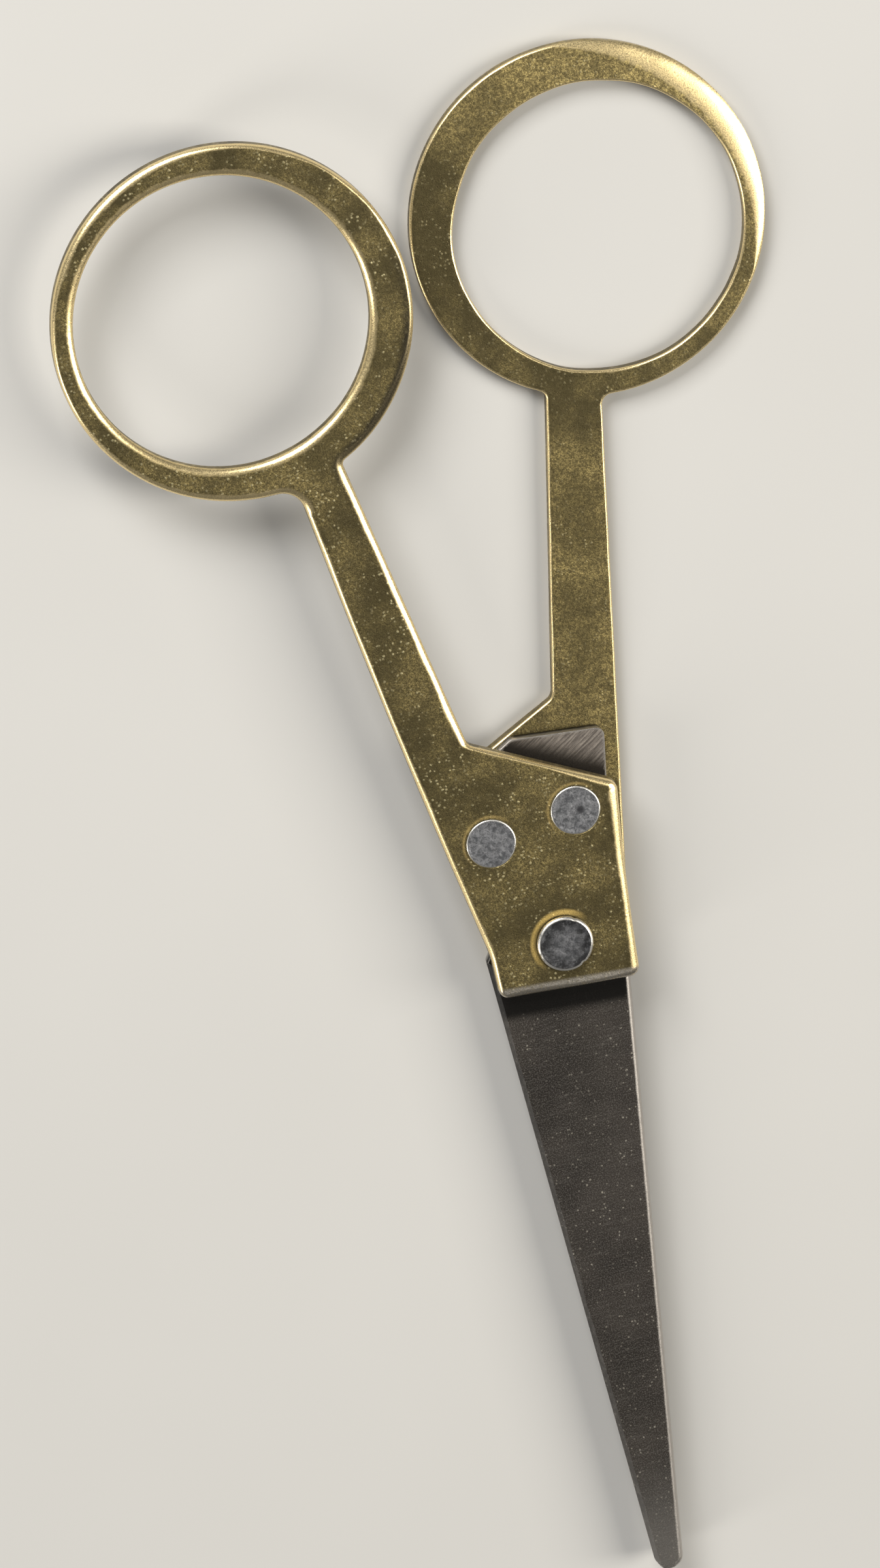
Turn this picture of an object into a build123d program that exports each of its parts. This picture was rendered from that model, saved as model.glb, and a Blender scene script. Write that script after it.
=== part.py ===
from build123d import *
import math
import os

# Thread snips, closed. Millimetres. The snips lie flat: +Z is up through the front face,
# +Y runs from the pivot to the finger rings, the blades point along -Y, and the origin is
# on the pivot's axis in the plane of the rear handle's outer face.

# ---- driving dimensions -------------------------------------------------------------------
HANDLE_T = 1.5              # brass handle stamping
BLADE_T = 1.2               # steel blade
BLADE_GAP = 0.1             # running gap between the two blades
HEAD_PLAY = 0.02            # play under the pivot's head
FACE_ROUND = 0.5            # rounded edges on a handle's outer face
BACK_ROUND = 0.2            # broken edge round a handle's inner face
HOLE_BACK_ROUND = 0.4       # the finger hole is rounded on that face too

# Both handles come from one blank, drawn here as the front one. They are finished by hand,
# so their rings and shoulders differ a little.
RING_R = 14.4
HOLE_R = 11.77
FRONT_RING_AT = (-16.8, 56.15)
FRONT_HOLE_AT = (-17.62, 56.4)
FRONT_SHOULDER = ((-4.75, 18.05), (6.65, 12.35))    # the plate's inner and outer top corners
FRONT_SHANK_END = (-14.55, 43.5)
FRONT_NECK_ROUNDS = (0.5, 1.9)      # where the shank meets the ring, inner and outer side
REAR_RING_AT = (-17.25, 56.35)
REAR_HOLE_AT = (-17.96, 55.55)
REAR_SHOULDER = ((-4.6, 19.0), (6.65, 14.0))
REAR_SHANK_END = (-15.0, 43.5)
REAR_NECK_ROUNDS = (0.7, 0.9)
REAR_TURN = 4.3             # degrees: the rear handle stands nearer the blades' line

# A blade is drawn about its centre line, its cutting edge on the -X side.
BLADE_AXIS_X = -0.55        # the closed blades' centre line passes beside the pivot
TAPER_TOP_Y = 4.0           # the taper is measured here and at the tip
CUTTING_HALF_WIDTHS = (6.21, 1.25)
SPINE_HALF_WIDTHS = (6.33, 0.95)
FRONT_HEEL_Y = 4.0          # the tapered spine ends here and steps in to the tang
REAR_HEEL_Y = -1.9          # and here on the rear blade
CUTTING_HEEL_Y = -0.8       # the cutting side steps in here
STEP_AT = (-5.2, 0.2)
TIP_Y = -56.6
TIP_ROUND = 1.0
FRONT_TANG = ((5.6, 5.2), (6.45, 11.7), (-2.35, 16.2), (-6.35, 16.2))     # from spine to cutting side
REAR_TANG = ((4.9, -0.6), (5.95, 13.5), (0.45, 16.95), (-7.25, 16.35))
TANG_ROUND = 0.7
REAR_INSET = 0.25           # the rear blade is this much narrower, so it hides when closed
BEVEL_WIDTH = 0.4           # ground cutting bevel, across the blade and through it
BEVEL_DEPTH = 1.0
SPINE_ROUND = 0.4

PIVOT_R = 1.6
PIVOT_CLEARANCE = 0.05      # radial, in the front half, which turns on the pivot
PIVOT_HEAD_R = 2.33
PIVOT_HEAD_H = 0.5
PIVOT_RIM_ROUND = 0.2
PIVOT_TAIL_R = 2.2
RIVET_R = 1.5
RIVET_FACE_R = 2.08         # flush head in the handle's outer face
RIVET_TAIL_R = 1.9          # flush tail in the blade's inner face
COUNTERSINK_ANGLE = 90      # so a cone is as deep as it is wider than the shank
OUTER_RIVET_AT = (-4.39, 9.57)      # on the blank, nearer the shank
INNER_RIVET_AT = (2.85, 10.8)

# ---- levels through the stack -------------------------------------------------------------
REAR_BLADE_INNER_Z = HANDLE_T + BLADE_T
FRONT_BLADE_INNER_Z = REAR_BLADE_INNER_Z + BLADE_GAP
FACE_Z = FRONT_BLADE_INNER_Z + BLADE_T + HANDLE_T

# ---- planes: a handle's plane is its outer face, a blade's plane is its inner face ----------
turn = math.radians(REAR_TURN)
FRONT_BLANK = Plane(origin=(0, 0, FACE_Z), x_dir=(1, 0, 0), z_dir=(0, 0, 1))
REAR_BLANK = Plane(origin=(0, 0, 0), x_dir=(-math.cos(turn), -math.sin(turn), 0), z_dir=(0, 0, -1))
FRONT_BLADE = Plane(origin=(BLADE_AXIS_X, 0, FRONT_BLADE_INNER_Z), x_dir=(1, 0, 0), z_dir=(0, 0, 1))
REAR_BLADE = Plane(origin=(BLADE_AXIS_X, 0, REAR_BLADE_INNER_Z), x_dir=(-1, 0, 0), z_dir=(0, 0, -1))


def rivets_on(blank, plane):
    """The two blade rivets of a handle blank, as points on another plane."""
    places = []
    for x, y in (OUTER_RIVET_AT, INNER_RIVET_AT):
        at = plane.to_local_coords(blank.from_local_coords(Vector(x, y, 0)))
        places.append((at.X, at.Y))
    return places


def handle(blank, ring_at, hole_at, shoulder, shank_end_outer, neck_rounds, pivot_hole):
    """A flat handle: finger ring, shank and rivet plate in one stamping."""
    inner_corner, outer_corner = shoulder
    shank_end_inner = (-10.8, 45.1)
    waist = (-6.1, 0.0)
    foot_outer = (-5.95, -3.7)
    foot_inner = (5.68, -4.25)
    corners = [
        ((-10.45, 43.65), neck_rounds[0]),
        ((-14.4, 42.4), neck_rounds[1]),
        (inner_corner, 1.0),
        (outer_corner, 1.05),
        (foot_inner, 0.8),
        (foot_outer, 0.8),
        (waist, 10.0),
    ]
    with BuildPart() as piece:
        with BuildSketch(blank) as outline:
            with BuildLine():
                Polyline(shank_end_outer, shank_end_inner, inner_corner, outer_corner)
                ThreePointArc(outer_corner, (5.98, 4.0), foot_inner)
                Polyline(foot_inner, foot_outer, waist)
                ThreePointArc(waist, (-11.1, 24.3), shank_end_outer)
            make_face()
            with Locations(ring_at):
                Circle(RING_R)
            for place, radius in corners:
                fillet(outline.vertices().sort_by_distance(place)[0], radius)
            with Locations(hole_at):
                Circle(HOLE_R, mode=Mode.SUBTRACT)
        extrude(amount=-HANDLE_T)
        outward = Axis((0, 0, 0), tuple(blank.z_dir))
        back = piece.faces().sort_by(outward)[0]
        back_outline = back.outer_wire().edges()
        back_hole = back.inner_wires()[0].edges()
        fillet(piece.faces().sort_by(outward)[-1].edges(), FACE_ROUND)
        fillet(back_outline, BACK_ROUND)
        fillet(back_hole, HOLE_BACK_ROUND)
        with Locations(blank):
            with Locations(OUTER_RIVET_AT, INNER_RIVET_AT):
                CounterSinkHole(RIVET_R, RIVET_FACE_R, counter_sink_angle=COUNTERSINK_ANGLE)
            pivot_hole()
    return piece


def half_width(widths, y):
    """How far a side of a blade stands off its centre line."""
    wide, narrow = widths
    return narrow + (wide - narrow) * (y - TIP_Y) / (TAPER_TOP_Y - TIP_Y)


def blade(plane, inset, heel_y, tang, blank, pivot_hole_r):
    """A tapered blade with a rounded spine and a ground cutting bevel."""
    tip_y = TIP_Y + inset
    cutting_heel = Vector(inset - half_width(CUTTING_HALF_WIDTHS, CUTTING_HEEL_Y), CUTTING_HEEL_Y, 0)
    cutting_tip = Vector(inset - half_width(CUTTING_HALF_WIDTHS, tip_y), tip_y, 0)
    spine_tip = Vector(half_width(SPINE_HALF_WIDTHS, tip_y) - inset, tip_y, 0)
    spine_heel = Vector(half_width(SPINE_HALF_WIDTHS, heel_y) - inset, heel_y, 0)
    edge = cutting_tip - cutting_heel
    across = Vector(edge.Y, -edge.X, 0).normalized()
    bevel_plane = Plane(
        origin=plane.from_local_coords(cutting_heel + Vector(0, 0, BLADE_T)),
        x_dir=plane.from_local_coords(across) - plane.origin,
        z_dir=plane.from_local_coords(edge) - plane.origin,
    )
    spine_middle = plane.from_local_coords((spine_heel + spine_tip) * 0.5 + Vector(0, 0, BLADE_T))
    inner_face = -plane
    pivot = inner_face.to_local_coords(Vector(0, 0, 0))
    with BuildPart() as piece:
        with BuildSketch(plane) as outline:
            with BuildLine():
                Polyline(STEP_AT, cutting_heel, cutting_tip, spine_tip, spine_heel, *tang, close=True)
            make_face()
            for place in (cutting_tip, spine_tip):
                fillet(outline.vertices().sort_by_distance(place)[0], TIP_ROUND - inset)
            for place in tang:
                fillet(outline.vertices().sort_by_distance(place)[0], TANG_ROUND)
        extrude(amount=BLADE_T)
        fillet(piece.edges().sort_by_distance(spine_middle)[0], SPINE_ROUND)
        with BuildSketch(bevel_plane):
            with BuildLine():
                Polyline(
                    (-BEVEL_WIDTH, 0),
                    (-BEVEL_WIDTH, -BLADE_T),
                    (BLADE_T, -BLADE_T),
                    (BLADE_T, BEVEL_DEPTH),
                    (0, BEVEL_DEPTH),
                    close=True,
                )
            make_face()
        extrude(amount=edge.length * 1.1, mode=Mode.SUBTRACT)
        with Locations(inner_face):
            with Locations(*rivets_on(blank, inner_face)):
                CounterSinkHole(RIVET_R, RIVET_TAIL_R, counter_sink_angle=COUNTERSINK_ANGLE)
            with Locations((pivot.X, pivot.Y)):
                Hole(pivot_hole_r)
    return piece


def blade_rivet(at, tail_z, face_z):
    """A rivet set flush at both ends: a cone in the handle's face, one in the blade's."""
    x, y = at
    way = 1 if face_z > tail_z else -1
    with BuildPart() as piece:
        with BuildSketch(Plane(origin=(x, y, 0), x_dir=(1, 0, 0), z_dir=(0, -1, 0))):
            with BuildLine():
                Polyline(
                    (0, tail_z),
                    (RIVET_TAIL_R, tail_z),
                    (RIVET_R, tail_z + way * (RIVET_TAIL_R - RIVET_R)),
                    (RIVET_R, face_z - way * (RIVET_FACE_R - RIVET_R)),
                    (RIVET_FACE_R, face_z),
                    (0, face_z),
                    close=True,
                )
            make_face()
        revolve(axis=Axis((x, y, 0), (0, 0, 1)))
    return piece


# ---- the pieces ---------------------------------------------------------------------------
def running_hole():
    Hole(PIVOT_R + PIVOT_CLEARANCE)


def tail_hole():
    CounterSinkHole(PIVOT_R, PIVOT_TAIL_R, counter_sink_angle=COUNTERSINK_ANGLE)


front_handle = handle(
    FRONT_BLANK,
    FRONT_RING_AT,
    FRONT_HOLE_AT,
    FRONT_SHOULDER,
    FRONT_SHANK_END,
    FRONT_NECK_ROUNDS,
    running_hole,
)
rear_handle = handle(
    REAR_BLANK,
    REAR_RING_AT,
    REAR_HOLE_AT,
    REAR_SHOULDER,
    REAR_SHANK_END,
    REAR_NECK_ROUNDS,
    tail_hole,
)
front_blade = blade(FRONT_BLADE, 0, FRONT_HEEL_Y, FRONT_TANG, FRONT_BLANK, PIVOT_R + PIVOT_CLEARANCE)
rear_blade = blade(REAR_BLADE, REAR_INSET, REAR_HEEL_Y, REAR_TANG, REAR_BLANK, PIVOT_R)

front_outer_at, front_inner_at = rivets_on(FRONT_BLANK, Plane.XY)
rear_outer_at, rear_inner_at = rivets_on(REAR_BLANK, Plane.XY)
front_outer_rivet = blade_rivet(front_outer_at, FRONT_BLADE_INNER_Z, FACE_Z)
front_inner_rivet = blade_rivet(front_inner_at, FRONT_BLADE_INNER_Z, FACE_Z)
rear_outer_rivet = blade_rivet(rear_outer_at, REAR_BLADE_INNER_Z, 0)
rear_inner_rivet = blade_rivet(rear_inner_at, REAR_BLADE_INNER_Z, 0)

head_z = FACE_Z + HEAD_PLAY
with BuildPart() as pivot_rivet:
    with BuildSketch(Plane.XZ) as half_section:
        with BuildLine():
            Polyline(
                (0, 0),
                (PIVOT_TAIL_R, 0),
                (PIVOT_R, PIVOT_TAIL_R - PIVOT_R),
                (PIVOT_R, head_z),
                (PIVOT_HEAD_R, head_z),
                (PIVOT_HEAD_R, head_z + PIVOT_HEAD_H),
                (0, head_z + PIVOT_HEAD_H),
                close=True,
            )
        make_face()
        rim = half_section.vertices().sort_by_distance((PIVOT_HEAD_R, head_z + PIVOT_HEAD_H))[0]
        fillet(rim, PIVOT_RIM_ROUND)
    revolve(axis=Axis.Z)

pieces = {
    "front_handle": front_handle,
    "rear_handle": rear_handle,
    "front_blade": front_blade,
    "rear_blade": rear_blade,
    "front_outer_rivet": front_outer_rivet,
    "front_inner_rivet": front_inner_rivet,
    "rear_outer_rivet": rear_outer_rivet,
    "rear_inner_rivet": rear_inner_rivet,
    "pivot_rivet": pivot_rivet,
}
os.makedirs("parts", exist_ok=True)
for name, piece in pieces.items():
    piece.part.label = name
    export_step(piece.part, f"parts/{name}.step")
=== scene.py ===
import math

import bmesh
import bpy
import numpy as np
from mathutils import Matrix, Vector
from mathutils.geometry import delaunay_2d_cdt


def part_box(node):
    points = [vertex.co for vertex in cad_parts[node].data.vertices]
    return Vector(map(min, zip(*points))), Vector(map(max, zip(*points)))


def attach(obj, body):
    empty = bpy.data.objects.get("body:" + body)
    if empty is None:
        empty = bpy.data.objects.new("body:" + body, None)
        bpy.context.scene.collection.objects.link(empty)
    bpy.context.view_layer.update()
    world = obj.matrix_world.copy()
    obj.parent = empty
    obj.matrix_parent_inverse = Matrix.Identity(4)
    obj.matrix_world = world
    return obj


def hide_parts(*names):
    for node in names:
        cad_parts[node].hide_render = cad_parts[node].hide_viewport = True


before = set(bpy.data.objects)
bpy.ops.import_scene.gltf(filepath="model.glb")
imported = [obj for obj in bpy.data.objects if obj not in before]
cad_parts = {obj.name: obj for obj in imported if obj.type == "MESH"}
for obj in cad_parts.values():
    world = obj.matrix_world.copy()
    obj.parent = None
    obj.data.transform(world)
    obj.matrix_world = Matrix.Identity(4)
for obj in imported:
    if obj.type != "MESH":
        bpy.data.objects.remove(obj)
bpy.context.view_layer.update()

# Thread snips. Lengths are in metres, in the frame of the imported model: +Z is up through the
# front face, +Y runs from the pivot to the finger rings, and the pivot's axis is at x = y = 0.
MM = 0.001

# ---- places and levels, from the frame ----------------------------------------------------
REAR_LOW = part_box("rear_handle")[0].z
REAR_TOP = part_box("rear_handle")[1].z
FRONT_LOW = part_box("front_handle")[0].z
FACE_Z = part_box("front_handle")[1].z
REAR_BLADE_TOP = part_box("rear_blade")[1].z
FRONT_BLADE_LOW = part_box("front_blade")[0].z
PIVOT_LOW, PIVOT_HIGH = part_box("pivot_rivet")
PLATE_CORNER = Vector((6.1 * MM, 12.0 * MM, 0))     # the front plate's outer top corner


def middle(node):
    """The middle of a CAD node's box, seen from above."""
    low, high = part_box(node)
    return np.array([(low.x + high.x) / 2, (low.y + high.y) / 2])


# ---- mesh helpers -------------------------------------------------------------------------
SHARP_ANGLE = math.radians(32)
STRAIGHT_TURN = math.radians(0.2)   # a point that turns less lies on a straight line
ARC_TURN = 0.45                     # radians: a point that turns more is a corner, not an arc
ARC_STEP = math.radians(6)          # the most that one step round an arc turns
EDGE_STEPS = 7          # rows of faces across a shaped edge
END_GRID = 0.13         # millimetres between the points of a rivet's end


def noise(points, scale, seed, octaves=2):
    """Smooth value noise from sines in turned directions, about -1 to 1, the same in every run."""
    rng = np.random.default_rng(seed)
    total = np.zeros(len(points))
    weight = 0.0
    for octave in range(octaves):
        step = 2.0 ** octave
        for _ in range(5):
            angle = rng.uniform(0, 2 * math.pi)
            way = np.array([math.cos(angle), math.sin(angle)])
            pitch = scale / step * rng.uniform(0.7, 1.4)
            phase = rng.uniform(0, 2 * math.pi)
            bend = np.sin(points[:, ::-1] @ way / pitch * 1.7 + phase * 2)
            total += np.sin(points[:, :2] @ way * 2 * math.pi / pitch + phase + bend) / step
        weight += 2.2 / step
    return total / weight


def section_loops(node, z):
    """The closed outlines where a level plane cuts a CAD node: arrays of points, largest first."""
    bm = bmesh.new()
    bm.from_mesh(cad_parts[node].data)
    bmesh.ops.remove_doubles(bm, verts=bm.verts, dist=1e-7)
    whole = bm.verts[:] + bm.edges[:] + bm.faces[:]
    bmesh.ops.bisect_plane(
        bm, geom=whole, plane_co=(0, 0, z), plane_no=(0, 0, 1), clear_inner=True, clear_outer=True
    )
    bmesh.ops.remove_doubles(bm, verts=bm.verts, dist=1e-7)
    loops = []
    left = set(bm.verts)
    for start in bm.verts:
        if start not in left:
            continue
        left.discard(start)
        loop = [start]
        here = start
        while True:
            onward = [e.other_vert(here) for e in here.link_edges]
            onward = [v for v in onward if v in left]
            if not onward:
                break
            here = onward[0]
            left.discard(here)
            loop.append(here)
        if len(loop) > 2:
            loops.append(straightened(np.array([v.co[:2] for v in loop])))
    bm.free()
    return sorted(loops, key=lambda p: -abs(area(p)))


def area(points):
    """The area in a closed outline, positive when it runs anticlockwise."""
    x, y = points[:, 0], points[:, 1]
    return float(np.sum(x * np.roll(y, -1) - np.roll(x, -1) * y)) / 2


def turns(points):
    """The turn at each point of a closed outline, in radians."""
    before = points - np.roll(points, 1, axis=0)
    after = np.roll(points, -1, axis=0) - points
    cross = before[:, 0] * after[:, 1] - before[:, 1] * after[:, 0]
    return np.arctan2(cross, np.sum(before * after, axis=1))


def straightened(points):
    """An outline without the points that lie in line with their neighbours."""
    return points[np.abs(turns(points)) > STRAIGHT_TURN]


def refined(points, step):
    """An outline with extra points, set on the arc wherever the outline is an arc."""
    turn = turns(points)
    count = len(points)
    lengths = np.linalg.norm(np.roll(points, -1, axis=0) - points, axis=1)
    out = []
    for i in range(count):
        a, b = points[i], points[(i + 1) % count]
        ta, tb = turn[i], turn[(i + 1) % count]
        chord = b - a
        length = lengths[i]
        beside = (lengths[i - 1], lengths[(i + 1) % count])
        even = any(0.4 < other / length < 2.5 for other in beside)
        round_here = even and ta * tb > 0 and max(abs(ta), abs(tb)) < ARC_TURN
        bend = math.copysign(min(abs(ta), abs(tb)), ta) if round_here else 0.0
        pieces = max(1, math.ceil(length / step), math.ceil(abs(bend) / ARC_STEP))
        side = np.array([chord[1], -chord[0]]) / length
        for k in range(pieces):
            t = k / pieces
            rise = length / 2 * math.tan(bend / 4) * 4 * t * (1 - t)
            out.append(a + chord * t + side * rise)
    return np.array(out)


def inward(points):
    """Unit vectors into the material, which lies on the left of the outline."""
    before = points - np.roll(points, 1, axis=0)
    after = np.roll(points, -1, axis=0) - points
    before /= np.linalg.norm(before, axis=1)[:, None]
    after /= np.linalg.norm(after, axis=1)[:, None]
    along = before + after
    along /= np.linalg.norm(along, axis=1)[:, None]
    return np.stack([-along[:, 1], along[:, 0]], axis=1)


def inside(points, outlines):
    """Whether each point lies in the material: inside an odd number of the outlines."""
    found = np.zeros(len(points), bool)
    x, y = points.T
    for outline in outlines:
        for (ax, ay), (bx, by) in zip(outline, np.roll(outline, -1, axis=0)):
            if ay != by:
                crossing = ax + (y - ay) / (by - ay) * (bx - ax)
                found ^= ((ay > y) != (by > y)) & (x < crossing)
    return found


def clear_of(points, outlines, gap):
    """Whether each point is further than a gap from every point of the outlines."""
    kept = np.ones(len(points), bool)
    for outline in outlines:
        for x, y in outline:
            kept &= np.hypot(points[:, 0] - x, points[:, 1] - y) > gap
    return kept


def cap(bm, rims, z, grid, up, relief):
    """Fills a face between rims of vertices with even triangles, and presses its relief in."""
    places = [np.array([v.co[:2] for v in rim]) / MM for rim in rims]
    flat = np.concatenate(places)
    edges = []
    first = 0
    for place in places:
        count = len(place)
        edges += [(first + i, first + (i + 1) % count) for i in range(count)]
        first += count
    low, high = flat.min(0), flat.max(0)
    rows = np.arange(low[1], high[1], grid * 0.866)
    field = []
    for number, y in enumerate(rows):
        xs = np.arange(low[0] + (number % 2) * grid / 2, high[0], grid)
        field.append(np.stack([xs, np.full(len(xs), y)], axis=1))
    field = np.concatenate(field)
    field = field[inside(field, places)]
    field = field[clear_of(field, places, 0.55 * grid)]
    everything = [Vector(p) for p in flat] + [Vector(p) for p in field]
    found, _, faces, came_from, _, _ = delaunay_2d_cdt(everything, edges, [], 1, 1e-6)
    rim_verts = [v for rim in rims for v in rim]
    heights = relief(np.array([[p.x, p.y] for p in found]) * MM)
    verts = []
    for place, origin, height in zip(found, came_from, heights):
        if origin and min(origin) < len(rim_verts):
            verts.append(rim_verts[min(origin)])
        else:
            verts.append(bm.verts.new((place.x * MM, place.y * MM, z - up * height)))
    centres = np.array([np.mean([found[i][:] for i in face], axis=0) for face in faces])
    for face, wanted in zip(faces, inside(centres, places)):
        corners = [verts[i] for i in face]
        if wanted and len(set(corners)) == 3:
            bm.faces.new(corners if up > 0 else corners[::-1])


def plate(node, finish, outlines, low, high, edges, relief, grid):
    """A flat piece between two levels, with shaped edges round every outline.

    edges are the functions of the top and bottom edge. Each gives (width, depth, flatness, wear)
    at each point of an outline: flatness 0 is a round and 1 is a straight ground bevel.
    """
    bm = bmesh.new()
    wear_layer = bm.verts.layers.float.new("wear")
    tops, bottoms = [], []
    for index, outline in enumerate(outlines):
        into = inward(outline)
        rings = []
        for side, level, edge in ((1, high, edges[0]), (-1, low, edges[1])):
            width, depth, flat, worn = edge(outline, into, index)
            stack = []
            for k in range(EDGE_STEPS + 1):
                t = k / EDGE_STEPS
                a = t * math.pi / 2
                inset = width * ((1 - flat) * (1 - math.cos(a)) + flat * t)
                drop = depth * ((1 - flat) * (1 - math.sin(a)) + flat * (1 - t))
                rub = worn * (flat + (1 - flat) * (0.3 + 0.7 * math.sin(math.pi * t)))
                places = np.column_stack([outline + into * inset[:, None], level - side * drop])
                stack.append(new_verts(bm, places, rub, wear_layer))
            rings.append(stack)
        upper, lower = rings
        skin(bm, lower[::-1] + upper)
        tops.append(upper[-1])
        bottoms.append(lower[-1])
    cap(bm, tops, high, grid, 1, relief)
    cap(bm, bottoms, low, grid, -1, relief)
    return finished(node, finish, bm)


def new_verts(bm, places, wear, wear_layer):
    """One vertex at each place, with its wear."""
    verts = []
    for place, value in zip(places, wear):
        vert = bm.verts.new(place)
        vert[wear_layer] = value
        verts.append(vert)
    return verts


def skin(bm, rows):
    """Quads between closed rows of vertices."""
    for below, above in zip(rows, rows[1:]):
        count = len(below)
        for i in range(count):
            j = (i + 1) % count
            bm.faces.new((below[i], below[j], above[j], above[i]))


def finished(node, finish, bm):
    """A smooth-shaded object from a bmesh, held inside its CAD node's box."""
    low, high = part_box(node)
    for vert in bm.verts:
        vert.co = [min(max(value, a), b) for value, a, b in zip(vert.co, low, high)]
    bmesh.ops.recalc_face_normals(bm, faces=bm.faces)
    mesh = bpy.data.meshes.new(node + finish)
    bm.to_mesh(mesh)
    bm.free()
    mesh.shade_smooth()
    mesh.set_sharp_from_angle(angle=SHARP_ANGLE)
    obj = bpy.data.objects.new(node + finish, mesh)
    bpy.context.scene.collection.objects.link(obj)
    return obj


def points_of(obj):
    """The vertices of an object, as an array."""
    points = np.empty(len(obj.data.vertices) * 3)
    obj.data.vertices.foreach_get("co", points)
    return points.reshape(-1, 3)


def paint(obj, name, values):
    """Stores a number at every vertex, for the materials."""
    obj.data.attributes.new(name, "FLOAT", "POINT").data.foreach_set("value", values)


def lathe(node, centre, profile, wobble, relief, sectors=96):
    """A turned piece from (radius, height, wear) rows, low to high, with both flat ends filled."""
    bm = bmesh.new()
    wear_layer = bm.verts.layers.float.new("wear")
    angles = np.linspace(0, 2 * math.pi, sectors, endpoint=False)
    around = np.stack([np.cos(angles), np.sin(angles)], axis=1)
    rows = []
    for radius, height, worn in profile:
        place = centre + around * (radius * (1 + wobble(angles)))[:, None]
        places = np.column_stack([place, np.full(sectors, height)])
        rows.append(new_verts(bm, places, np.full(sectors, worn), wear_layer))
    skin(bm, rows)
    cap(bm, rows[:1], profile[0][1], END_GRID, -1, relief)
    cap(bm, rows[-1:], profile[-1][1], END_GRID, 1, relief)
    return finished(node, "_steel", bm)


# ---- the handles --------------------------------------------------------------------------
HANDLE_GRID = 0.33      # millimetres between the points of a face
OUTLINE_STEP = 0.35 * MM
THIN_EDGE = 0.05 * MM   # the broken edge of a hole
RIVET_SEAM = 0.03 * MM
RIVET_CONE = 0.58 * MM
PIVOT_TAIL_CONE = 0.6 * MM
OUTER_WIDTH = 0.68 * MM     # the round on a handle's outer face
OUTER_DEPTH = 0.5 * MM
INNER_WIDTH = 0.2 * MM      # and on the face against the blade
RING_REACH = 17 * MM        # what lies nearer the finger hole's middle is ring, not shank
CORNER_REACH = 6 * MM
EDGE_SHADE_AT = 0.5 * MM          # how far inside the ring's edge the painted dark reflection runs
EDGE_SHADE_BLUR = 0.34 * MM
FILED_AT = 42           # degrees round the rear ring, where most was filed off
FILED_REACH = 52        # degrees on to the left, where the filing ends
FILED_REACH_DOWN = 70   # and down the right side
FILED_WIDTH = 1.7 * MM
FILED_DEPTH = 0.15 * MM


def near(points, centre, reach):
    """1 at a place, falling smoothly to 0 at a distance."""
    gap = np.hypot(points[:, 0] - centre[0], points[:, 1] - centre[1])
    t = np.clip(1 - gap / reach, 0, 1)
    return t * t * (3 - 2 * t)


def oriented(loops):
    """Outlines with the material on their left: the outer one anticlockwise, holes clockwise."""
    out = []
    for index, loop in enumerate(loops):
        want_positive = index == 0
        turned = loop if (area(loop) > 0) == want_positive else loop[::-1]
        out.append(refined(turned, OUTLINE_STEP))
    return out


def is_pivot_hole(points):
    """Whether an outline runs round the pivot's axis."""
    return float(np.hypot(*points.mean(0))) < 0.5 * MM


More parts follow.
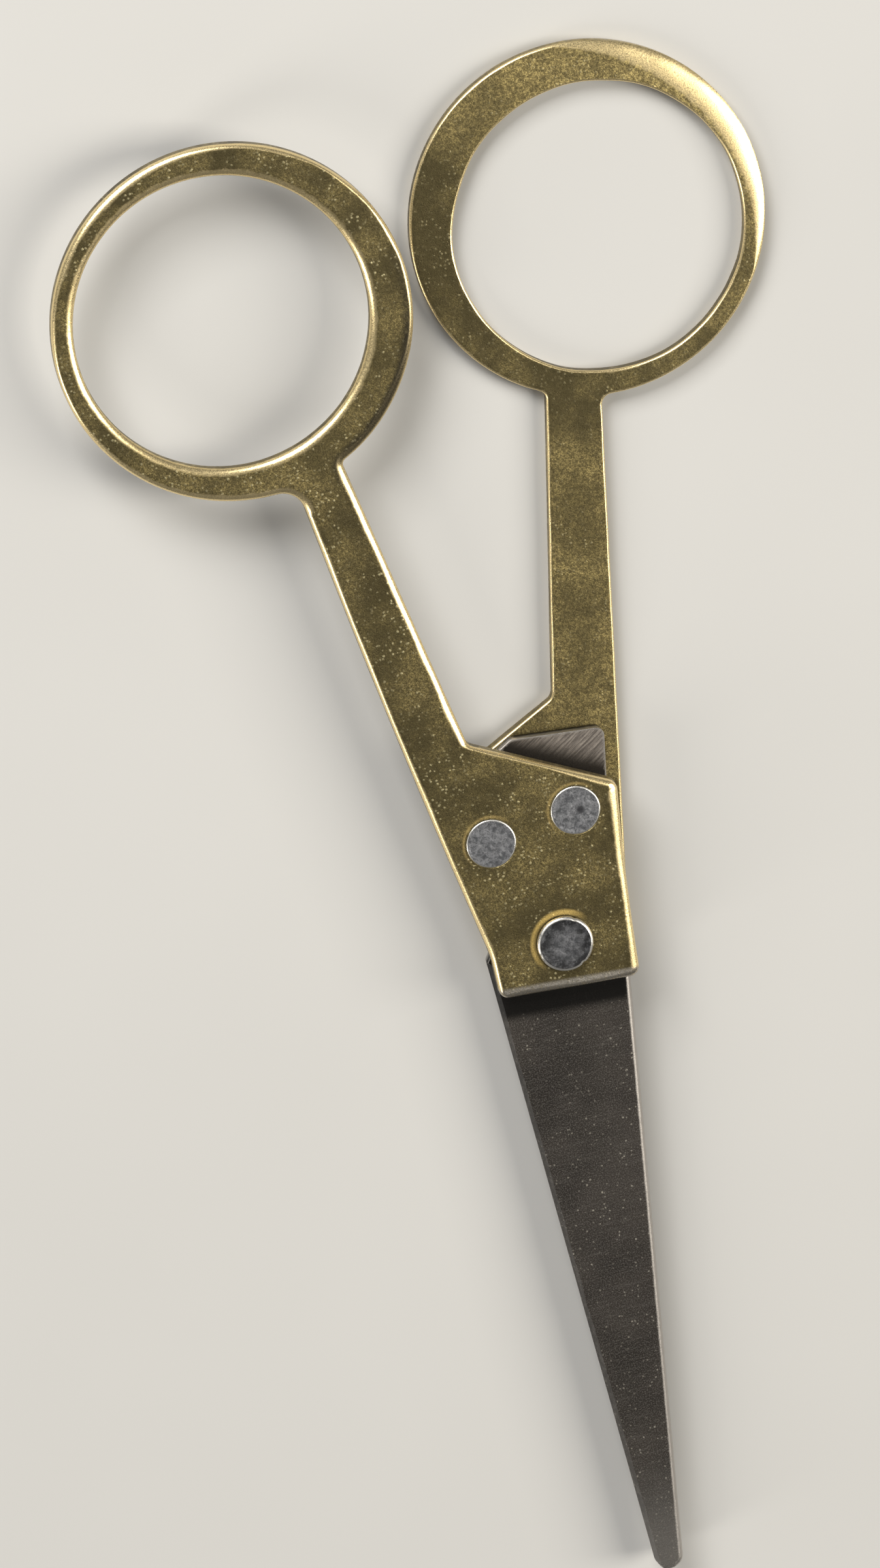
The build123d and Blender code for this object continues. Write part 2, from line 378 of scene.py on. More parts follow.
def make_handle(node, low, high, face_up, seed):
    """A handle: the outer face is rounded more, the face against the blade less."""
    wall_z = (low + high) / 2
    outlines = oriented(section_loops(node, wall_z))
    hole = outlines[1]
    hole_at = (hole.max(0) + hole.min(0)) / 2
    if not face_up:
        # the rear finger hole was filed out by hand
        outlines[1] = hole + inward(hole) * (0.05 * MM * noise(hole, 9 * MM, seed + 5))[:, None]

    def bearing(points):
        """Degrees round the finger hole, and how far out."""
        away = points[:, :2] - hole_at
        return np.degrees(np.arctan2(away[:, 1], away[:, 0])), np.hypot(*away.T)

    def outer_edge(points, into, index):
        count = len(points)
        if index > 1:
            pivot_cone = THIN_EDGE if face_up else PIVOT_TAIL_CONE
            cone = pivot_cone if is_pivot_hole(points) else RIVET_CONE
            widths = np.full(count, cone)
            return widths, widths, np.ones(count), np.zeros(count)
        uneven = noise(points, 9 * MM, seed)
        width = OUTER_WIDTH + 0.08 * MM * uneven
        depth = OUTER_DEPTH + 0.05 * MM * uneven
        if face_up and index == 0:
            angle, out = bearing(points)
            on_ring = out < RING_REACH
            sheltered = np.clip(1 - ((angle - 35) / 75) ** 2, 0, 1) * on_ring
            leftish = np.clip(into[:, 0] + 0.55, 0, 1) * ~on_ring
            upward = np.clip(-into[:, 1] * 2 - 0.6, 0, 1) * ~on_ring
            low_left = np.clip(np.cos(np.radians(angle + 168)), 0, 1) ** 2 * on_ring
            corner = near(points, PLATE_CORNER, CORNER_REACH)
            slimmer = 0.34 * np.maximum(sheltered, low_left) + 0.26 * leftish + 0.34 * upward
            width = width + MM * (0.24 * corner - slimmer)
        return width, depth, np.zeros(count), np.full(count, 1.0 if index == 0 else 0.8)

    def inner_edge(points, into, index):
        count = len(points)
        if index > 1:
            widths = np.full(count, THIN_EDGE)
            return widths, widths, np.ones(count), np.zeros(count)
        base = INNER_WIDTH if index == 0 or not face_up else 2 * INNER_WIDTH
        width = np.full(count, base) + 0.03 * MM * noise(points, 7 * MM, seed + 1)
        depth = width.copy()
        flat = np.zeros(count)
        if index == 0 and not face_up:
            # the rear ring is filed down towards the upper right of its upper side
            angle, out = bearing(points)
            reach = np.where(angle > FILED_AT, FILED_REACH, FILED_REACH_DOWN)
            share = np.clip(1 - ((angle - FILED_AT) / reach) ** 2, 0, 1) * (out < RING_REACH + MM)
            width = width + FILED_WIDTH * share
            depth = depth + FILED_DEPTH * share ** 1.5
            flat = 0.3 * share
        return width, depth, flat, np.ones(count)

    def pitted(points):
        fine = noise(points, 1.1 * MM, seed + 2, 3)
        broad = noise(points, 11 * MM, seed + 3)
        return 0.004 * MM * (1 + fine) + 0.006 * MM * (1 + broad)

    edges = (outer_edge, inner_edge) if face_up else (inner_edge, outer_edge)
    piece = plate(node, "_brass", outlines, low, high, edges, pitted, HANDLE_GRID)
    points = points_of(piece)
    angle, out = bearing(points)
    on_ring = np.clip((19 * MM - out) / (4 * MM), 0, 1)
    if face_up:
        # over the handle's own tone, the front ring's face is painted lighter towards its lower
        # side and darker towards its top, as light falls on it
        tone_and_light = 0.32 + 0.12 * on_ring * np.cos(np.radians(angle + 90))
        # a painted dark reflection lies just inside the ring's outer edge, on the side by the
        # other ring
        share = np.clip(1 - ((angle + 35) / 50) ** 2, 0, 1) * on_ring
        edge_shade = np.zeros(len(points))
        for index in np.flatnonzero(share):
            gap = np.hypot(*(outlines[0] - points[index, :2]).T).min()
            edge_shade[index] = share[index] * min(1, max(0, 1.5 - abs(gap - EDGE_SHADE_AT) / EDGE_SHADE_BLUR))
    else:
        # over the handle's own tone, the rear ring's face is painted lighter towards its upper
        # side and darker on its left, as light falls on it
        shaded_left = np.clip(np.cos(np.radians(angle - 169)), 0, 1) ** 4
        tone_and_light = 0.62 + on_ring * (0.5 * np.cos(np.radians(angle - 75)) - 0.75 * shaded_left)
        edge_shade = np.zeros(len(points))
    paint(piece, "tone_and_light", tone_and_light)
    paint(piece, "edge_shade", edge_shade)
    paint(piece, "speckle", np.full(len(points), 0.6 if face_up else 0.25))
    return piece


# ---- the blades ---------------------------------------------------------------------------
BLADE_GRID = 0.33       # millimetres between the points of a face
BEVEL_WIDTH = 0.3 * MM
BEVEL_DEPTH = 1.0 * MM
SPINE_ROUND = 0.5 * MM
BROKEN_EDGE = 0.12 * MM     # round the tang and the blunt sides
OUTLINE_LEVEL = 0.1 * MM    # the outline is read this far above the ground face
HOLES_LEVEL = 0.8 * MM      # and the holes above their cones
HOLE_BREAK = 0.4 * MM       # the rivet holes' cone on the ground face
HEEL_Y = 4.0 * MM           # the spine's round ends here
REAR_HEEL_Y = -1.9 * MM     # and here on the rear blade
CUTTING_HEEL_Y = -0.8 * MM  # the cutting bevel ends here


def make_blade(node, low, high, face_up, seed):
    """A blade: ground bevel on the cutting side, rounded spine, broken edge round the tang."""
    inner_z = low if face_up else high
    way = 1 if face_up else -1
    cutting = -1 if face_up else 1
    outer = section_loops(node, inner_z + way * OUTLINE_LEVEL)[0]
    holes = section_loops(node, inner_z + way * HOLES_LEVEL)[1:]
    outlines = oriented([outer] + holes)

    def outer_edge(points, into, index):
        count = len(points)
        if index > 0:
            sizes = np.full(count, THIN_EDGE)
            return sizes, sizes, np.ones(count), np.zeros(count)
        heel_y = HEEL_Y if face_up else REAR_HEEL_Y
        below_heel = np.clip((heel_y - points[:, 1]) / (0.6 * MM), 0, 1)
        below_step = np.clip((CUTTING_HEEL_Y - points[:, 1]) / (0.3 * MM), 0, 1)
        cut = np.clip((-into[:, 0] * cutting - 0.45) / 0.4, 0, 1) * below_step
        spine = np.clip((into[:, 0] * cutting + 0.1) / 0.5, 0, 1) * below_heel
        ground = 1 + 0.12 * noise(points, 5 * MM, seed)
        rounding = spine * (SPINE_ROUND - BROKEN_EDGE)
        width = BROKEN_EDGE + cut * (BEVEL_WIDTH * ground - BROKEN_EDGE) + rounding
        depth = BROKEN_EDGE + cut * (BEVEL_DEPTH - BROKEN_EDGE) + rounding
        return width, depth, cut, 0.6 + 0.4 * spine - 0.25 * cut

    def inner_edge(points, into, index):
        riveted = index > 0 and not is_pivot_hole(points)
        size = HOLE_BREAK if riveted else 0.04 * MM
        sizes = np.full(len(points), size)
        return sizes, sizes, np.ones(len(points)), np.full(len(points), 0.8 * (index == 0))

    def ground_face(points):
        return 0.003 * MM * (1 + noise(points, 1.3 * MM, seed + 2, 3))

    edges = (outer_edge, inner_edge) if face_up else (inner_edge, outer_edge)
    piece = plate(node, "_steel", outlines, low, high, edges, ground_face, BLADE_GRID)
    paint(piece, "ground", np.abs(points_of(piece)[:, 2] - inner_z) < 0.02 * MM)
    return piece


# ---- the rivets ---------------------------------------------------------------------------
BLADE_RIVET_TAIL = 1.9 * MM
PIVOT_SHANK = 1.6 * MM
PIVOT_TAIL = 2.2 * MM
HEAD_ROUND = 0.26 * MM
HEAD_STEPS = 6              # rows across the pivot head's round


def make_blade_rivet(node, face_up, seed):
    """A flush rivet: a cone each end, its hammered face slightly domed and uneven."""
    low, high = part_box(node)
    radius = (high.x - low.x) / 2 - RIVET_SEAM
    shank = radius - RIVET_CONE
    tail = BLADE_RIVET_TAIL - RIVET_SEAM
    length = high.z - low.z
    profile = [(tail, 0, 0), (shank, tail - shank, 0), (shank, length - RIVET_CONE, 0)]
    profile += [(radius, length - 0.07 * MM, 0.3), (radius - 0.03 * MM, length - 0.03 * MM, 0.6)]
    profile += [(radius - 0.09 * MM, length - 0.005 * MM, 0.6), (radius - 0.16 * MM, length, 0.2)]
    turned = [(r, low.z + h, w) if face_up else (r, high.z - h, w) for r, h, w in profile]

    def wobble(angles):
        return 0.004 * np.sin(2 * angles + seed) + 0.003 * np.sin(5 * angles + 2 * seed) - 0.004

    def hammered(place):
        return 0.010 * MM * (1 + noise(place, 1.1 * MM, seed, 2))

    return lathe(node, middle(node), turned if face_up else turned[::-1], wobble, hammered)


def make_pivot():
    """The pivot rivet: countersunk tail, plain shank, and a flat burred head."""
    low, high = PIVOT_LOW, PIVOT_HIGH
    head_r = (high.x - low.x) / 2
    head_low = FACE_Z + 0.02 * MM
    cone_top = low.z + PIVOT_TAIL - PIVOT_SHANK
    profile = [(PIVOT_TAIL - RIVET_SEAM, low.z, 0.5), (PIVOT_SHANK, cone_top, 0)]
    profile += [(PIVOT_SHANK, head_low, 0), (head_r - 0.08 * MM, head_low, 0)]
    profile.append((head_r, head_low + 0.08 * MM, 0.3))
    for k in range(HEAD_STEPS + 1):
        a = k / HEAD_STEPS * math.pi / 2
        radius = head_r - HEAD_ROUND * (1 - math.cos(a))
        height = high.z - HEAD_ROUND * (1 - math.sin(a))
        profile.append((radius, height, 0.3 + 0.7 * math.sin(a * 2)))
    profile.append((head_r - HEAD_ROUND - 0.1 * MM, high.z - 0.01 * MM, 0))

    def wobble(angles):
        nick = np.zeros(len(angles))
        for at, size in ((62, 0.03), (-58, 0.045), (195, 0.015)):
            gap = (np.degrees(angles) - at + 180) % 360 - 180
            nick += size * np.exp(-((gap / 4.0) ** 2))
        return -nick - 0.004 + 0.003 * np.sin(3 * angles + 0.4)

    def hammered(place):
        return 0.016 * MM * (1 + noise(place, 1.2 * MM, 77, 2))

    return lathe("pivot_rivet", np.zeros(2), profile, wobble, hammered)


# ---- materials ----------------------------------------------------------------------------
GRINDING_TURN = 0.60        # radians: the grinding marks run across the ground faces
# the painted shadow of the front plate's shoulder on the rear tang runs along this line
TANG_SHADE_EDGE = (0.447, 0.894)         # square to the front plate's shoulder
TANG_SHADE_FROM = 14.0 * MM              # along that, from the pivot
FOOT_EDGE = (0.0473, 1.0)           # square to the front plate's lower end


class Nodes:
    """Short calls for building a material's node tree."""

    def __init__(self, name):
        self.material = bpy.data.materials.new(name)
        self.material.use_nodes = True
        self.tree = self.material.node_tree
        self.tree.nodes.clear()
        self.out = self.add("ShaderNodeOutputMaterial")
        self.shader = self.add("ShaderNodeBsdfPrincipled")
        self.link(self.shader.outputs["BSDF"], self.out.inputs["Surface"])
        self.place = self.add("ShaderNodeTexCoord").outputs["Object"]

    def add(self, kind, **settings):
        node = self.tree.nodes.new(kind)
        for key, value in settings.items():
            setattr(node, key, value)
        return node

    def link(self, a, b):
        self.tree.links.new(a, b)

    def feed(self, node, values):
        """Links sockets to a node's inputs, and sets plain values on them."""
        for key, value in values.items():
            if isinstance(value, bpy.types.NodeSocket):
                self.link(value, node.inputs[key])
            else:
                node.inputs[key].default_value = value

    def stretched(self, length, turn):
        """Coordinates that draw a texture out into streaks, turned from the x axis."""
        turned = self.add("ShaderNodeMapping")
        self.feed(turned, {"Vector": self.place, "Rotation": (0, 0, -turn)})
        drawn = self.add("ShaderNodeMapping")
        self.feed(drawn, {"Vector": turned.outputs["Vector"], "Scale": (1 / length, 1, 1)})
        return drawn.outputs["Vector"]

    def noise(self, scale, detail=2.0, rough=0.5, vector=None, distort=0.0):
        node = self.add("ShaderNodeTexNoise")
        shape = {"Scale": scale, "Detail": detail, "Roughness": rough, "Distortion": distort}
        self.feed(node, {"Vector": vector or self.place, **shape})
        return node.outputs["Fac"]

    def jittered(self, reach):
        """Coordinates pushed about a little, so that flecks are not round."""
        push = self.add("ShaderNodeTexNoise")
        self.feed(push, {"Vector": self.place, "Scale": 5000, "Detail": 1.0})
        moved = self.add("ShaderNodeVectorMath", operation="MULTIPLY_ADD")
        self.feed(moved, {0: push.outputs["Color"], 1: (reach, reach, reach), 2: self.place})
        return moved.outputs[0]

    def cells(self, scale, vector=None):
        """A Voronoi texture: Distance to each cell's centre, and one Color per cell."""
        node = self.add("ShaderNodeTexVoronoi")
        self.feed(node, {"Vector": vector or self.place, "Scale": scale})
        return node

    def ramp(self, value, low, high, out_low=0.0, out_high=1.0):
        """A smooth step from out_low, where the value is low, to out_high."""
        node = self.add("ShaderNodeMapRange", interpolation_type="SMOOTHSTEP")
        ends = {"From Min": low, "From Max": high, "To Min": out_low, "To Max": out_high}
        self.feed(node, {"Value": value, **ends})
        return node.outputs["Result"]

    def math(self, kind, a, b=0.0):
        node = self.add("ShaderNodeMath", operation=kind)
        self.feed(node, {0: a, 1: b})
        return node.outputs[0]

    def mix(self, share, a, b):
        """Colour a, with a share of colour b."""
        node = self.add("ShaderNodeMix", data_type="RGBA")
        self.feed(node, {0: share, 6: a, 7: b})
        return node.outputs[2]

    def painted(self, name):
        """A number stored at the vertices."""
        return self.add("ShaderNodeAttribute", attribute_name=name).outputs["Fac"]

    def worn(self, patches, low, high):
        """How far an edge is rubbed bright, broken up by a patchy noise."""
        shifted = self.math("ADD", self.painted("wear"), self.math("MULTIPLY", patches, 0.6))
        return self.ramp(shifted, low, high)

    def along(self, way, x=0.0, y=0.0):
        """How far a place lies from a point in a level direction, in metres."""
        shifted = self.add("ShaderNodeVectorMath", operation="SUBTRACT")
        self.feed(shifted, {0: self.place, 1: (x, y, 0)})
        dot = self.add("ShaderNodeVectorMath", operation="DOT_PRODUCT")
        self.feed(dot, {0: shifted.outputs[0], 1: (*way, 0)})
        return dot.outputs["Value"]

    def sheen_arc(self, at, inner, outer):
        """A soft painted highlight round a rivet, on its upper left side only."""
        gap = self.gap_to(*at)
        outside = self.ramp(gap, inner, inner + 0.2 * MM)
        within = self.ramp(gap, outer - 0.3 * MM, outer, 1, 0)
        side = self.ramp(self.along((-0.65, 0.76), *at), -0.5 * MM, 1.6 * MM)
        return self.math("MULTIPLY", self.math("MULTIPLY", outside, within), side)

    def gap_to(self, x, y):
        """Distance from an upright line, in metres."""
        shifted = self.add("ShaderNodeVectorMath", operation="SUBTRACT")
        self.feed(shifted, {0: self.place, 1: (x, y, 0)})
        flat = self.add("ShaderNodeVectorMath", operation="MULTIPLY")
        self.feed(flat, {0: shifted.outputs[0], 1: (1, 1, 0)})
        length = self.add("ShaderNodeVectorMath", operation="LENGTH")
        self.feed(length, {0: flat.outputs[0]})
        return length.outputs["Value"]

    def bump(self, height, distance, strength):
        node = self.add("ShaderNodeBump")
        self.feed(node, {"Height": height, "Distance": distance, "Strength": strength})
        return node.outputs["Normal"]


def rgb(*values):
    """A colour with full alpha."""
    return (*values, 1.0)


BRASS_DULL = rgb(0.10, 0.082, 0.038)
BRASS_BRIGHT = rgb(0.64, 0.505, 0.21)
BRASS_BLOTCH = rgb(0.15, 0.122, 0.06)
BRASS_SPOT = rgb(0.10, 0.08, 0.038)
BRASS_PIT = rgb(0.06, 0.05, 0.025)
BRASS_FLECK = rgb(0.80, 0.71, 0.42)
BRASS_RUBBED = rgb(0.94, 0.755, 0.41)
BRASS_FOOT = rgb(0.40, 0.37, 0.33)
BRASS_EDGE_SHADE = rgb(0.03, 0.027, 0.022)
PIVOT_SHEEN = rgb(1.0, 0.72, 0.24)
RIVET_SHEEN = rgb(0.90, 0.66, 0.26)
STEEL_DARK = rgb(0.020, 0.0172, 0.015)
STEEL_LIGHT = rgb(0.040, 0.0345, 0.030)
STEEL_GRAIN = rgb(0.17, 0.158, 0.145)
STEEL_STREAK = rgb(0.20, 0.188, 0.175)
STEEL_FLECK = rgb(0.44, 0.41, 0.35)
STEEL_TIP = rgb(0.20, 0.19, 0.178)
STEEL_PLATE_SHADOW = rgb(0.004, 0.0035, 0.003)
GROUND_DARK = rgb(0.15, 0.132, 0.12)
GROUND_LIGHT = rgb(0.38, 0.34, 0.305)
STEEL_TANG_SHADE = rgb(0.03, 0.026, 0.022)
STEEL_RUBBED = rgb(0.50, 0.47, 0.44)
IRON_DARK = rgb(0.11, 0.115, 0.125)
IRON_LIGHT = rgb(0.38, 0.385, 0.41)
IRON_SPOT = rgb(0.09, 0.09, 0.095)
IRON_PIT = rgb(0.04, 0.04, 0.045)
IRON_SOOT = rgb(0.035, 0.035, 0.037)
IRON_RUBBED = rgb(0.80, 0.78, 0.74)
PAPER_DARK = rgb(0.44, 0.435, 0.425)
PAPER_LIGHT = rgb(0.47, 0.465, 0.455)
SKY = rgb(0.95, 0.97, 1.0)


def brass():
    """Aged brass: olive satin, dark pits, pale flecks, rubbed edges, painted light and shade on
    the rings, a painted dark reflection inside the front ring's edge, painted highlights round the
    rivets.
    """
    n = Nodes("aged_brass")
    broad = n.noise(230, 3, 0.6)
    patch = n.noise(1300, 3, 0.6)
    mottle = n.noise(4200, 2, 0.6)
    grain = n.noise(9500, 3, 0.7)
    pits = n.cells(5200)
    # painted light and shade on the rings, over each handle's own tone
    toned_and_lit = n.math("MULTIPLY", n.painted("tone_and_light"), 0.85)
    tone = n.math("ADD", toned_and_lit, n.ramp(broad, 0.34, 0.66, -0.26, 0.24))
    base = n.mix(tone, BRASS_DULL, BRASS_BRIGHT)
    blotched = n.mix(n.ramp(patch, 0.44, 0.62, 0, 0.5), base, BRASS_BLOTCH)
    mottled = n.mix(n.ramp(mottle, 0.42, 0.60, 0, 0.62), blotched, BRASS_SPOT)
    grained = n.mix(n.ramp(grain, 0.42, 0.60, 0.6, 0), mottled, BRASS_SPOT)
    pitted = n.mix(n.ramp(pits.outputs["Distance"], 0.0, 0.30, 0.4, 0), grained, BRASS_PIT)
    specks = n.cells(3400, n.jittered(0.12 * MM))
    fleck_pick = n.ramp(n.noise(420, 3, 0.6), 0.42, 0.62, 0.15, 1)
    chosen = n.math("MULTIPLY", n.ramp(specks.outputs["Color"], 0.48, 0.66), fleck_pick)
    flecks = n.math("MULTIPLY", n.ramp(specks.outputs["Distance"], 0.12, 0.48, 1, 0), chosen)
    flecked = n.mix(n.math("MULTIPLY", flecks, n.painted("speckle")), pitted, BRASS_FLECK)
    worn = n.worn(patch, 0.55, 1.05)
    rubbed = n.mix(n.math("MULTIPLY", worn, 0.85), flecked, BRASS_RUBBED)
    # a painted dark reflection along the inside of the front ring's outer edge
    darkened = n.mix(n.math("MULTIPLY", n.painted("edge_shade"), 0.9), rubbed, BRASS_EDGE_SHADE)
    foot = n.ramp(n.along(FOOT_EDGE), -3.35 * MM, -2.95 * MM, 0.9, 0)
    bared = n.mix(n.math("MULTIPLY", foot, n.ramp(mottle, 0.25, 0.5, 0.5, 1)), darkened, BRASS_FOOT)
    # painted highlights on the brass round the pivot and the two rivets, on their upper left side
    pivot_sheen = n.math("MULTIPLY", n.sheen_arc((0, 0), 2.28 * MM, 2.95 * MM), 0.65)
    sheened = n.mix(pivot_sheen, bared, PIVOT_SHEEN)
    for node in ("front_outer_rivet", "front_inner_rivet"):
        at = middle(node)
        rivet_sheen = n.math("MULTIPLY", n.sheen_arc((float(at[0]), float(at[1])), 2.1 * MM, 2.5 * MM), 0.45)
        sheened = n.mix(rivet_sheen, sheened, RIVET_SHEEN)
    n.feed(n.shader, {"Base Color": sheened, "Metallic": 0.92})
    rough = n.ramp(grain, 0.3, 0.7, 0.36, 0.52)
    smoother = n.math("SUBTRACT", rough, n.math("MULTIPLY", worn, 0.14))
    n.feed(n.shader, {"Roughness": smoother})
    hollow = n.ramp(pits.outputs["Distance"], 0.0, 0.40)
    height = n.math("ADD", n.math("MULTIPLY", grain, 0.6), n.math("MULTIPLY", hollow, 0.4))
    raised = n.math("ADD", height, n.math("MULTIPLY", flecks, 0.7))
    waved = n.math("ADD", raised, n.math("MULTIPLY", patch, 0.8))
    scratches = n.noise(700, 2, 0.5, n.stretched(25, 1.1))
    total = n.math("ADD", waved, n.math("MULTIPLY", n.ramp(scratches, 0.62, 0.72), 0.25))
    n.feed(n.shader, {"Normal": n.bump(total, 0.025 * MM, n.ramp(worn, 0, 1, 0.6, 0.2))})
    return n.material


def blade_steel():
    """Carbon steel: dark and fine-grained outside, ground brighter on the faces that meet."""
    n = Nodes("ground_steel")
    patch = n.noise(1200, 3, 0.6)
    broad = n.noise(150, 3, 0.6)
    grain = n.noise(9000, 3, 0.7)
    specks = n.cells(3000, n.jittered(0.15 * MM))
    fine_lines = n.noise(5200, 3, 0.6, n.stretched(14, 0.05))
    speck_pick = n.ramp(broad, 0.35, 0.6, 0.25, 1)
    chosen = n.math("MULTIPLY", n.ramp(specks.outputs["Color"], 0.55, 0.75), speck_pick)
    speck = n.math("MULTIPLY", n.ramp(specks.outputs["Distance"], 0.06, 0.34, 1, 0), chosen)
    dark = n.mix(n.ramp(broad, 0.3, 0.7), STEEL_DARK, STEEL_LIGHT)
    grained = n.mix(n.ramp(grain, 0.46, 0.66, 0, 0.40), dark, STEEL_GRAIN)
    streaked = n.mix(n.ramp(fine_lines, 0.5, 0.72, 0, 0.10), grained, STEEL_STREAK)
    flecked = n.mix(n.math("MULTIPLY", speck, 0.6), streaked, STEEL_FLECK)
    tip = n.ramp(n.along((0, -1)), 45 * MM, 56 * MM, 0, 0.45)
    lighter = n.mix(tip, flecked, STEEL_TIP)
    # a painted shadow of the front plate on the blade, just below the plate's lower end
    plate_shadow = n.ramp(n.along(FOOT_EDGE), -6.7 * MM, -5.7 * MM, 0, 0.98)
    tipped = n.mix(plate_shadow, lighter, STEEL_PLATE_SHADOW)
    grinding = n.noise(5200, 3, 0.7, n.stretched(14, GRINDING_TURN))
    bright = n.mix(n.ramp(grinding, 0.35, 0.68), GROUND_DARK, GROUND_LIGHT)
    ground = n.painted("ground")
    faced = n.mix(ground, tipped, bright)
    # a painted shadow of the front plate's shoulder on the rear tang's ground face
    past_edge = n.along(TANG_SHADE_EDGE)
    above = n.ramp(past_edge, TANG_SHADE_FROM, TANG_SHADE_FROM + 1.9 * MM, 1, 0)
    below = n.ramp(past_edge, TANG_SHADE_FROM - 1.4 * MM, TANG_SHADE_FROM - 0.4 * MM)
    tang_shade = n.math("MULTIPLY", n.math("MULTIPLY", above, below), ground)
    darkened = n.mix(tang_shade, faced, STEEL_TANG_SHADE)
    uneven = n.math("ADD", n.math("MULTIPLY", patch, 0.6), n.math("MULTIPLY", grain, 0.4))
    worn = n.worn(uneven, 0.62, 1.12)
    rubbed = n.mix(n.math("MULTIPLY", worn, 0.8), darkened, STEEL_RUBBED)
    n.feed(n.shader, {"Base Color": rubbed})
    bare = n.math("MAXIMUM", worn, ground)
    n.feed(n.shader, {"Metallic": n.ramp(bare, 0, 1, 0.5, 0.92)})
    n.feed(n.shader, {"Specular IOR Level": 0.25})
    rough = n.ramp(grain, 0.3, 0.7, 0.42, 0.56)
    n.feed(n.shader, {"Roughness": n.math("SUBTRACT", rough, n.math("MULTIPLY", worn, 0.12))})
    height = n.math("ADD", n.math("MULTIPLY", grain, 0.7), n.math("MULTIPLY", patch, 0.5))
    grooves = n.math("MULTIPLY", grinding, n.math("MULTIPLY", ground, 1.5))
    lined = n.math("ADD", height, grooves)
    n.feed(n.shader, {"Normal": n.bump(lined, 0.015 * MM, 0.6)})
    return n.material


def rivet_steel():
    """Blue-grey mottled iron, paler round the hammered rim."""
    n = Nodes("mottled_iron")
    blots = n.noise(2300, 4, 0.7, distort=0.4)
    fine = n.noise(6500, 3, 0.65)
    base = n.mix(n.ramp(blots, 0.36, 0.64), IRON_DARK, IRON_LIGHT)
    spotted = n.mix(n.ramp(fine, 0.50, 0.66, 0, 0.6), base, IRON_SPOT)
    at = middle("front_inner_rivet")
    pit = n.ramp(n.gap_to(float(at[0]) + 0.38 * MM, float(at[1])), 0.15 * MM, 0.5 * MM, 0.8, 0)
    spotted = n.mix(pit, spotted, IRON_PIT)
    on_head = n.ramp(n.gap_to(0, 0), 2.6 * MM, 2.7 * MM, 0.95, 0)
    clouds = n.ramp(n.noise(1300, 4, 0.7), 0.40, 0.58, 1, 0.55)
    outwards = n.ramp(n.gap_to(0, 0), 0.6 * MM, 1.8 * MM, 0.4, 1)
    darkened = n.math("MULTIPLY", n.math("MULTIPLY", on_head, outwards), clouds)
    darker = n.mix(darkened, spotted, IRON_SOOT)
    worn = n.worn(blots, 0.55, 1.0)
    rubbed = n.mix(n.math("MULTIPLY", worn, 0.9), darker, IRON_RUBBED)
    n.feed(n.shader, {"Base Color": rubbed, "Metallic": 0.92})
    rough = n.ramp(blots, 0.3, 0.7, 0.52, 0.38)
    n.feed(n.shader, {"Roughness": n.math("SUBTRACT", rough, n.math("MULTIPLY", worn, 0.12))})
    height = n.math("ADD", blots, n.math("MULTIPLY", fine, 0.4))
    n.feed(n.shader, {"Normal": n.bump(height, 0.03 * MM, 0.6)})
    return n.material


def floor_paper():
    """A plain pale floor."""
    n = Nodes("pale_floor")
    tone = n.mix(n.noise(30, 2, 0.5), PAPER_DARK, PAPER_LIGHT)
    n.feed(n.shader, {"Base Color": tone, "Roughness": 0.85})
    return n.material


# ---- camera, floor and light --------------------------------------------------------------
VIEW_TILT = math.radians(18.0)      # the camera leans this far from straight above
VIEW_LEAN = math.radians(118.0)     # in this direction across the picture
VIEW_ROLL = math.radians(10.5)      # the snips lie turned in the picture
VIEW_DISTANCE = 580 * MM
VIEW_TARGET = Vector((-7.57 * MM, 15.47 * MM, 5.5 * MM))
LENS_MM = 165.3
FLOOR_REACH = 0.9           # half the floor's width
WORLD_STRENGTH = 0.10
LIGHT_CENTRE = Vector((0, 8 * MM, 0))
LIGHT_DISTANCE = 0.80
# each light's name, direction (picture-right, picture-up, up), size, watts and colour
LIGHTS = (
    ("window", (-0.60, 0.95, 0.90), (0.44, 0.36), 7.5, (1.0, 0.985, 0.95)),
    ("side", (1.0, 0.10, 0.92), (0.30, 0.56), 6.5, (1.0, 0.95, 0.85)),
    ("left", (-1.0, -0.55, 0.55), (0.20, 0.40), 2.6, (1.0, 0.96, 0.88)),
)


def axes_of_view():
    """Picture-right and picture-up on the floor, the way to the camera, and the camera's up."""
    across = Vector((math.cos(VIEW_ROLL), -math.sin(VIEW_ROLL), 0))
    upward = Vector((math.sin(VIEW_ROLL), math.cos(VIEW_ROLL), 0))
    lean = across * math.cos(VIEW_LEAN) + upward * math.sin(VIEW_LEAN)
    back = lean * math.sin(VIEW_TILT) + Vector((0, 0, math.cos(VIEW_TILT)))
    up = (upward - back * upward.dot(back)).normalized()
    return across, upward, back, up


def make_camera():
    _, _, back, up = axes_of_view()
    camera = bpy.data.objects.new("camera", bpy.data.cameras.new("camera"))
    bpy.context.scene.collection.objects.link(camera)
    camera.data.lens = LENS_MM
    camera.data.sensor_width = 36
    camera.data.clip_start = 0.01
    camera.data.clip_end = 10
    right = up.cross(back)
    camera.rotation_mode = "QUATERNION"
    camera.rotation_quaternion = Matrix((right, up, back)).transposed().to_quaternion()
    camera.location = VIEW_TARGET + back * VIEW_DISTANCE
    bpy.context.scene.camera = camera


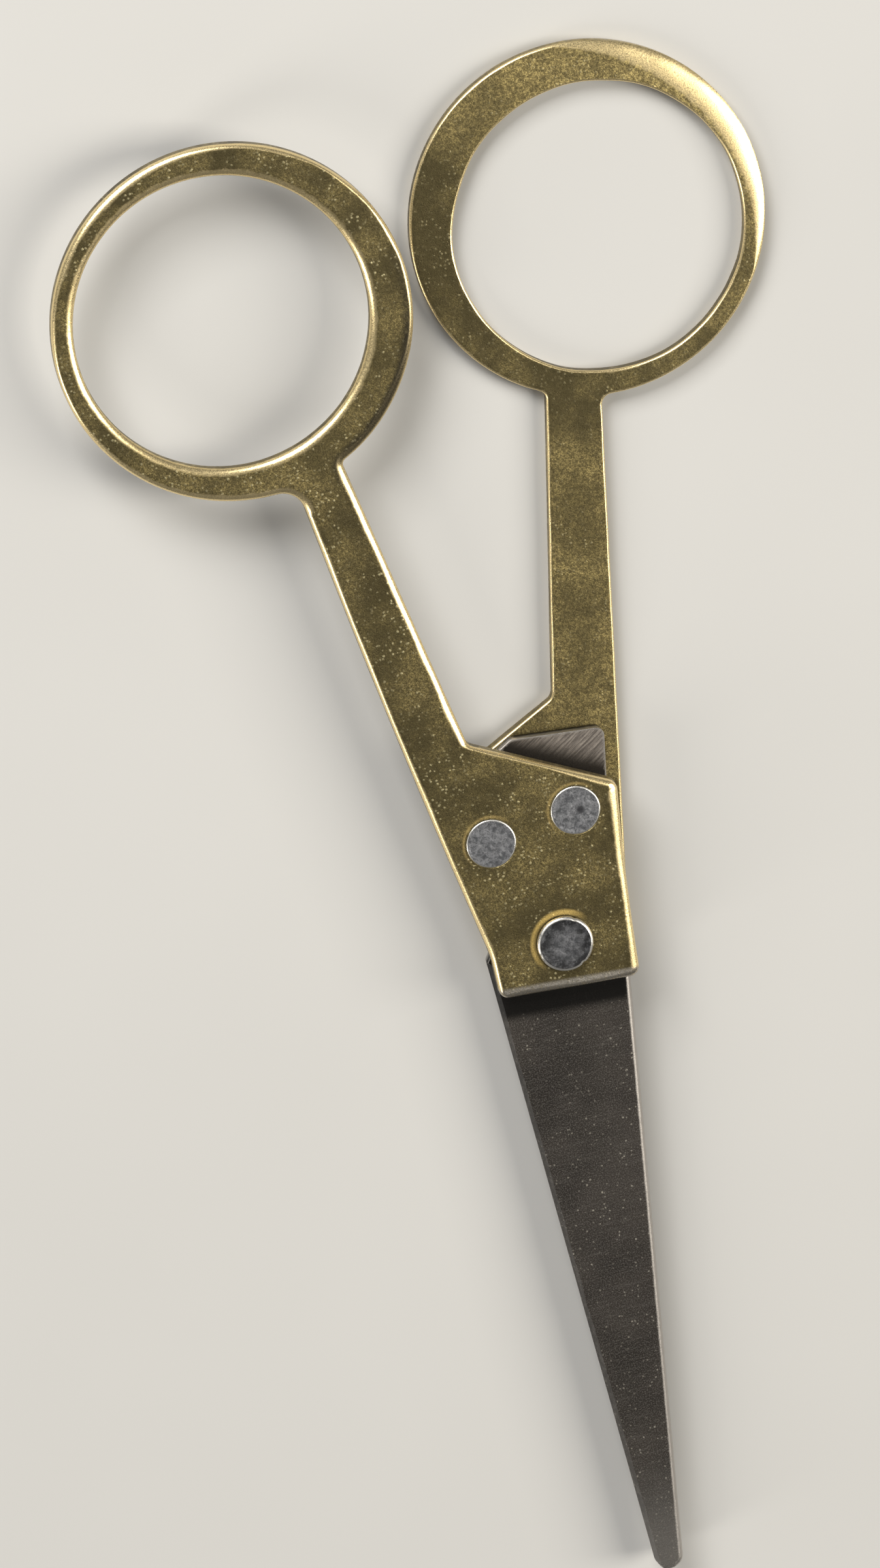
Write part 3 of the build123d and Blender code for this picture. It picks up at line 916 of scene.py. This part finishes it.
def soft_light(name, towards, size, power, colour):
    """A softbox that faces the snips."""
    across, upward, _, _ = axes_of_view()
    way = (across * towards[0] + upward * towards[1] + Vector((0, 0, towards[2]))).normalized()
    data = bpy.data.lights.new(name, "AREA")
    data.shape = "RECTANGLE"
    data.size, data.size_y = size
    data.energy = power
    data.color = colour
    lamp = bpy.data.objects.new(name, data)
    lamp.location = LIGHT_CENTRE + way * LIGHT_DISTANCE
    lamp.rotation_mode = "QUATERNION"
    lamp.rotation_quaternion = way.to_track_quat("Z", "Y")
    bpy.context.scene.collection.objects.link(lamp)


def make_studio():
    floor = bpy.data.meshes.new("floor")
    bm = bmesh.new()
    bmesh.ops.create_grid(bm, x_segments=8, y_segments=8, size=FLOOR_REACH)
    bm.to_mesh(floor)
    bm.free()
    ground = bpy.data.objects.new("floor", floor)
    ground.location.z = REAR_LOW
    ground.data.materials.append(floor_paper())
    bpy.context.scene.collection.objects.link(ground)
    world = bpy.data.worlds.new("studio")
    world.use_nodes = True
    sky = world.node_tree.nodes["Background"]
    sky.inputs["Color"].default_value = SKY
    sky.inputs["Strength"].default_value = WORLD_STRENGTH
    bpy.context.scene.world = world
    for light in LIGHTS:
        soft_light(*light)
    bpy.context.scene.view_settings.view_transform = "Standard"


# ---- the whole thing ----------------------------------------------------------------------
def dress(piece, node, body, material):
    """Gives a piece its material, and says what it rides on and stands in for."""
    piece.data.materials.append(material)
    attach(piece, body)
    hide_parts(node)


make_camera()
make_studio()

brass_material = brass()
steel_material = blade_steel()
iron_material = rivet_steel()

dress(
    make_handle("front_handle", FRONT_LOW, FACE_Z, True, 11),
    "front_handle", "front_half", brass_material,
)
dress(
    make_handle("rear_handle", REAR_LOW, REAR_TOP, False, 23),
    "rear_handle", "rear_half", brass_material,
)
dress(
    make_blade("front_blade", FRONT_BLADE_LOW, FRONT_LOW, True, 31),
    "front_blade", "front_half", steel_material,
)
dress(
    make_blade("rear_blade", REAR_TOP, REAR_BLADE_TOP, False, 43),
    "rear_blade", "rear_half", steel_material,
)
for number, (half, up) in enumerate((("front", True), ("rear", False))):
    for place in ("outer", "inner"):
        rivet_node = f"{half}_{place}_rivet"
        dress(
            make_blade_rivet(rivet_node, up, 51 + number),
            rivet_node, f"{half}_half", iron_material,
        )
dress(make_pivot(), "pivot_rivet", "rear_half", iron_material)
